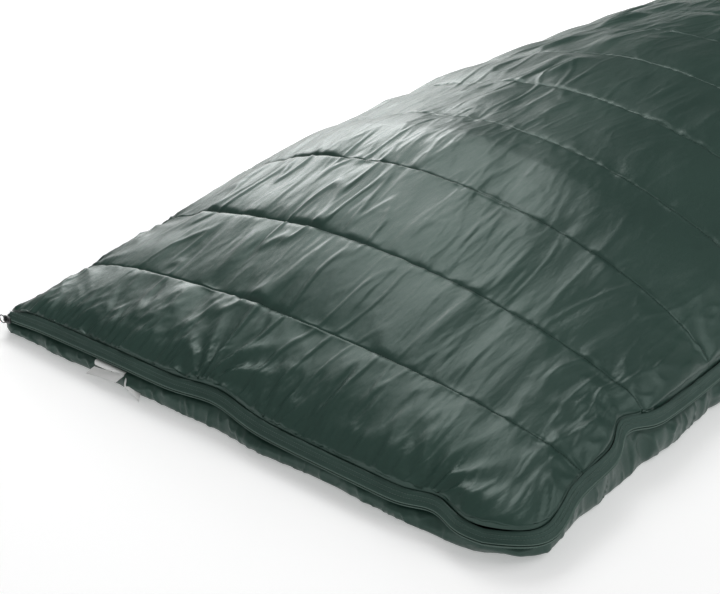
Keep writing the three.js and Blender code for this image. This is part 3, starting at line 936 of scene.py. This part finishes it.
def coil_row(name, side):
    """A row of coil turns behind the tape's folded edge."""
    place, out = edge_path(COIL_LOW[0], ZIP_X, ZIP_Y, ZIP_CORNER, ZIP_HEAD, 0.0009)
    z = path_heights(place)
    phase = np.arange(len(place)) % 2
    reach = np.where(phase == (side > 0), 0.45, -0.25)[:, None] * MM
    o = np.array([-1.4, -1.4, 0.0, 0.5, 0.0])[None] * MM + reach * np.array([0, 0, 1, 1, 1])
    up = side * (np.array([0.25, 2.7, 2.7, 1.4, 0.15])[None] * MM + 0 * reach)
    vertices, faces = strip_part(swept(place, out, z, np.stack([o, up], -1)), closed=True)
    return mesh_object(name, vertices, faces[:, ::-1] if side > 0 else faces, COIL_PLASTIC)


top_coil = coil_row("top_zip_coil_turns", 1)
bottom_coil = coil_row("bottom_zip_coil_turns", -1)


def tape_stitches_and_highlight(name, spots, side):
    """Topstitching along a tape at (out, up) places in millimetres, and a raised strip on its folded edge in
    the light thread colour: a painted highlight on the fold.
    """
    parts = []
    for o, up in spots:
        line = wandered(swept(zip_place, zip_out, zip_z, np.array([[o, up]]) * MM)[:, 0])
        parts.append(stitch_line(line, *TAPE_STITCH))
    # The strip on the folded edge is coloured light: a painted highlight where the fold catches the light.
    edge = np.array([(1.5, 0.6), (2.7, 0.8), (2.9, 1.6), (2.4, 2.2), (1.5, 2.0)]) * MM * np.array([1, side])
    painted_highlight_strip, faces = strip_part(swept(zip_place, zip_out, zip_z, edge), closed=True)
    return joined(name, [*parts, (painted_highlight_strip, faces if side > 0 else faces[:, ::-1])], THREAD_AND_HIGHLIGHT)


top_tape_stitches = tape_stitches_and_highlight("top_zip_stitches", [(-1.75, 6.05), (-4.1, 9.6)], 1)
bottom_tape_stitches = tape_stitches_and_highlight("bottom_zip_stitches", [(-2.6, -5.4)], -1)


# ---- head bindings ----
def binding(name, upper, lower):
    """A folded tape round the head end of a quilt. upper and lower are its faces' last rows."""
    profile = [(-9, 0.5), (-4, 0.9), (1.5, 0.8), (3.6, 0.2), (4.3, -0.5)]
    lines = [upper + np.array([0, y, z]) * MM for y, z in profile]
    lines += [lower + np.array([0, y, -z]) * MM for y, z in profile[::-1]]
    inner = [(-9, -0.2), (2.5, -0.2)]
    lines += [lower + np.array([0, y, -z]) * MM for y, z in inner]
    lines += [upper + np.array([0, y, z]) * MM for y, z in inner[::-1]]
    points = np.stack(lines, 1)
    return mesh_object(name, points.reshape(-1, 3), grid_faces(*points.shape[:2], closed=True), BINDING)


def last_row(points, columns):
    """A grid's head edge, evened to so many points."""
    at = np.linspace(0, points.shape[1] - 1, columns)
    index = np.arange(points.shape[1])
    return np.stack([np.interp(at, index, points[-1, :, k]) for k in range(3)], -1)


BINDING_COLUMNS = 240
top_end, top_under_end = last_row(top_points, BINDING_COLUMNS), last_row(top_lining_points, BINDING_COLUMNS)
top_binding = binding("top_head_binding_tape", top_end, top_under_end)
bottom_over_end = last_row(bottom_lining_points, BINDING_COLUMNS)
bottom_end = bottom_over_end * np.array([1, 1, 0]) + np.array([0, 0, 0.0018])
bottom_binding = binding("bottom_head_binding_tape", bottom_over_end, bottom_end)


def binding_thread(name, end):
    """Topstitching along a binding, just inside the head edge."""
    return joined(name, [stitch_line(end + np.array([0, -3.5, 1.1]) * MM, *BINDING_STITCH)], THREAD_AND_HIGHLIGHT)


top_binding_stitches = binding_thread("top_binding_stitches", top_end)
bottom_binding_stitches = binding_thread("bottom_binding_stitches", bottom_over_end)


# ---- draft tube ----
def make_draft_tube():
    low, high = corners("draft_tube")
    centre, radius = (low + high) / 2, (high[0] - low[0]) / 2
    rows, sides = 700, 28
    y = np.linspace(low[1], high[1], rows)
    turn = np.linspace(0, 2 * math.pi, sides, endpoint=False)
    ends = np.minimum(1, quarter((y - low[1]) / 0.012)) * quarter((high[1] - y) / 0.012)
    gathered = 1 + 0.05 * sample(GATHERS, turn[None] * 0.01, y[:, None])
    fat = radius * np.maximum(ends, 0.05)[:, None] * gathered
    fat = fat * (1 + 0.07 * sample(LUMPS, 0.2, y))[:, None]
    x, z = centre[0] + fat * np.cos(turn), centre[2] + fat * np.sin(turn) * 0.95
    points = stacked(x, y[:, None] + 0 * turn, z)
    faces = grid_faces(rows, sides, closed=True)[:, ::-1]
    return mesh_object("draft_tube_cloth", points.reshape(-1, 3), faces, LINING)


draft_tube = make_draft_tube()


# ---- sliders ----
def bevelled(thing, width):
    bevel = thing.modifiers.new("bevel", "BEVEL")
    bevel.width = width
    bevel.segments = 3
    bevel.limit_method = "ANGLE"
    bpy.context.view_layer.objects.active = thing
    with bpy.context.temp_override(object=thing, active_object=thing, selected_objects=[thing]):
        bpy.ops.object.modifier_apply(modifier="bevel")


def plate(outline, low, high):
    """A closed slab between two heights along the slider's outward axis."""
    n = len(outline)
    below = [(low, a, b) for a, b in outline]
    above = [(high, a, b) for a, b in outline]
    sides = [(i, (i + 1) % n, n + (i + 1) % n, n + i) for i in range(n)]
    return below + above, sides + [tuple(range(n))[::-1], tuple(range(n, 2 * n))]


def tube(points, radius, sides=10):
    """A round bar along a line of points in the slider's middle plane."""
    points = np.array(points, float)
    ahead = np.gradient(points, axis=0)
    ahead /= np.linalg.norm(ahead, axis=1)[:, None]
    flat = np.array([0, 0, 1.0])
    side = np.cross(ahead, flat)
    turn = np.linspace(0, 2 * math.pi, sides, endpoint=False)
    ring = side[:, None] * np.cos(turn)[None, :, None] + flat * np.sin(turn)[None, :, None] * 1.5
    vertices = (points[:, None] + radius * ring).reshape(-1, 3)
    return vertices, grid_faces(len(points), sides, closed=True)


def slider_frame(centre, turn):
    """Turns the slider's (out, along, up) millimetres into places."""
    c, s = math.cos(turn), math.sin(turn)

    def put(points):
        p = np.asarray(points, float) * MM
        moved = stacked(c * p[..., 0] - s * p[..., 1], s * p[..., 0] + c * p[..., 1], p[..., 2])
        return moved + centre

    return put


def make_slider(name, pull_name, centre, turn):
    put = slider_frame(centre, turn)
    half_long = [(-7, 0.62), (-5.5, 0.86), (-2, 1.0), (1.5, 0.98), (4.5, 0.82), (7, 0.5)]
    outline = [(a, -5.6 * w) for a, w in half_long] + [(a, 5.6 * w) for a, w in half_long[::-1]]
    arc = np.linspace(0, math.pi, 17)
    bridge = [(4.3 + 3.3 * math.sin(a) ** 0.7, -4.2 * math.cos(a), 0.0) for a in arc]
    parts = [
        plate(outline, 2.1, 4.3),  # face
        plate([(a * 0.72, b * 0.62) for a, b in outline], 4.0, 5.0),  # crest
        plate([(a * 0.95, b * 0.9) for a, b in outline], -3.6, -2.4),  # lip
        plate([(4.2, -1.0), (6.6, -1.4), (6.6, 1.4), (4.2, 1.0)], -3.0, 3.0),  # neck
        tube(bridge, 0.62),
    ]
    vertices, faces = [], []
    for points, part in parts:
        faces += [tuple(int(i) + len(vertices) for i in f) for f in part]
        vertices += [tuple(p) for p in points]
    thing = mesh_object(name, put(vertices), faces, METAL)
    bevelled(thing, 0.00045)
    thing.data.polygons.foreach_set("use_smooth", [True] * len(thing.data.polygons))
    steps, sides = 40, 12
    ring_out, radius, wire = 5.8, 6.0, 0.8
    big = np.linspace(0, 2 * math.pi, steps + 1)[:-1, None]
    small = np.linspace(0, 2 * math.pi, sides, endpoint=False)[None]
    stretch = 1 + 0.12 * np.cos(big)
    spread = radius * stretch + wire * np.cos(small)
    ring = stacked(
        ring_out + wire * np.sin(small) + 0 * big,
        -radius - spread * np.cos(big),
        spread * np.sin(big) * 0.92,
    )
    ring = np.concatenate([ring, ring[:1]])
    pull = mesh_object(pull_name, put(ring).reshape(-1, 3), grid_faces(steps + 1, sides, closed=True), METAL)
    return thing, pull


foot_low, foot_high = corners("foot_slider")
side_low, side_high = corners("side_slider")
foot_centre = wandered(np.array([(foot_low[0] + foot_high[0]) / 2, ZIP_Y, FOOT_Z]))
side_centre = np.array([ZIP_X, (side_low[1] + side_high[1]) / 2, SIDE_Z])
foot_slider, foot_ring = make_slider("foot_slider_body", "foot_ring", foot_centre, -math.pi / 2)
side_slider, side_ring = make_slider("side_slider_body", "side_ring", side_centre, 0.0)


# ---- stops ----
def make_stop(name, node):
    low, high = corners(node)
    centre = wandered((low + high) / 2)
    half = (high - low) / 2
    outline = [(-half[1], -half[2]), (half[1], -half[2]), (half[1], half[2]), (-half[1], half[2])]
    points, faces = plate(outline, -half[0], half[0])
    thing = mesh_object(name, np.array(points) + centre, faces, METAL)
    bevelled(thing, 0.0006)
    return thing


foot_stop = make_stop("foot_stop_clip", "foot_zip_stop")
top_stop = make_stop("top_stop_clip", "top_head_stop")
bottom_stop = make_stop("bottom_stop_clip", "bottom_head_stop")


# ---- care labels ----
LABEL_THICK = 0.0004


def make_label(number, long, wide, start, lift, out, lean, bend, rise, skew):
    """One blank leaf sewn in under the zip tape. It leans down by lean radians, and bends by bend more."""
    a, b = np.meshgrid(np.linspace(0, 1, 40), np.linspace(0, 1, 16), indexing="ij")
    angle = lean + bend * b + 0.10 * np.sin(5 * a + 2 * number)
    step = wide / 15
    away = np.cumsum(np.cos(angle) * step, axis=1) - np.cos(angle[:, :1]) * step
    fall = np.cumsum(np.sin(angle) * step, axis=1) - np.sin(angle[:, :1]) * step
    x = LEFT + start + long * a - skew * b
    y = FOOT - out - away
    z = lift - fall + rise * a
    front = stacked(x, y, z)
    back = front - np.array([0, 0, LABEL_THICK])
    rows, columns = a.shape
    faces = np.concatenate([grid_faces(rows, columns)[:, ::-1], grid_faces(rows, columns) + a.size])
    index = np.arange(a.size).reshape(a.shape)
    rim = np.concatenate([index[:, 0], index[-1, 1:], index[-2::-1, -1], index[0, -2:0:-1]])
    ahead = np.roll(rim, -1)
    walls = np.stack([rim, ahead, ahead + a.size, rim + a.size], -1)
    vertices = wandered(np.concatenate([front.reshape(-1, 3), back.reshape(-1, 3)]))
    return mesh_object(f"label_leaf_{number}", vertices, np.concatenate([faces, walls]), LABEL)


LABEL_START = corners("care_label_1")[0][0] - LEFT + 0.024
LABEL_FLATS = [(0.056, 0.011), (0.054, 0.010), (0.026, 0.010)]
LABEL_LIFT = FOOT_Z - TAPE_LOW - 0.002
labels = [
    make_label(1, *LABEL_FLATS[0], LABEL_START + 0.002, LABEL_LIFT - 0.0055, 0.012, 0.55, 0.3, 0.005, 0.009),
    make_label(2, *LABEL_FLATS[1], LABEL_START + 0.002, LABEL_LIFT + 0.0015, 0.006, -0.5, 2.9, -0.001, 0.0),
    make_label(3, *LABEL_FLATS[2], LABEL_START + 0.060, LABEL_LIFT - 0.002, 0.011, 0.3, 0.8, -0.010, -0.004),
]


# ---- what moves with what, and what stands for which solid ----
def fit(piece, body, slot, *nodes):
    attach(piece, body)
    if nodes:
        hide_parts(*nodes)


# For each body: the pieces, each with its material slot and the solids it stands for.
PIECES = {
    "top_quilt": [
        (top_shell, "shell", "top_shell", *TOP_FILLS),
        (top_stitches, "shell"),
        (top_lining, "lining", "top_lining"),
        (lining_stitches, "lining"),
        (top_tape, "tape", "top_zip_tape"),
        (top_tape_stitches, "tape"),
        (top_coil, "coil", "top_zip_coil"),
        (top_binding, "tape", "top_head_binding"),
        (top_binding_stitches, "tape"),
        (draft_tube, "lining", "draft_tube"),
        (top_stop, "metal", "top_head_stop"),
    ],
    "bottom_quilt": [
        (bottom_shell, "shell", "bottom_shell", *BOTTOM_FILLS),
        (bottom_lining, "lining", "bottom_lining"),
        (bottom_stitches, "lining"),
        (bottom_tape, "tape", "bottom_zip_tape"),
        (bottom_tape_stitches, "tape"),
        (bottom_coil, "coil", "bottom_zip_coil"),
        (bottom_binding, "tape", "bottom_head_binding"),
        (bottom_binding_stitches, "tape"),
        (foot_stop, "metal", "foot_zip_stop"),
        (bottom_stop, "metal", "bottom_head_stop"),
    ],
    "foot_slider": [(foot_slider, "metal", "foot_slider")],
    "foot_pull": [(foot_ring, "metal", "foot_pull_ring")],
    "side_slider": [(side_slider, "metal", "side_slider")],
    "side_pull": [(side_ring, "metal", "side_pull_ring")],
}
for body, rows in PIECES.items():
    for piece, slot, *nodes in rows:
        fit(piece, body, slot, *nodes)
for number, (leaf, flat) in enumerate(zip(labels, LABEL_FLATS), 1):
    fit(leaf, "bottom_quilt", "label", f"care_label_{number}")

# Each piece of the top quilt gets a mesh of its own.
for piece, *_ in PIECES["top_quilt"]:
    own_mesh(piece)
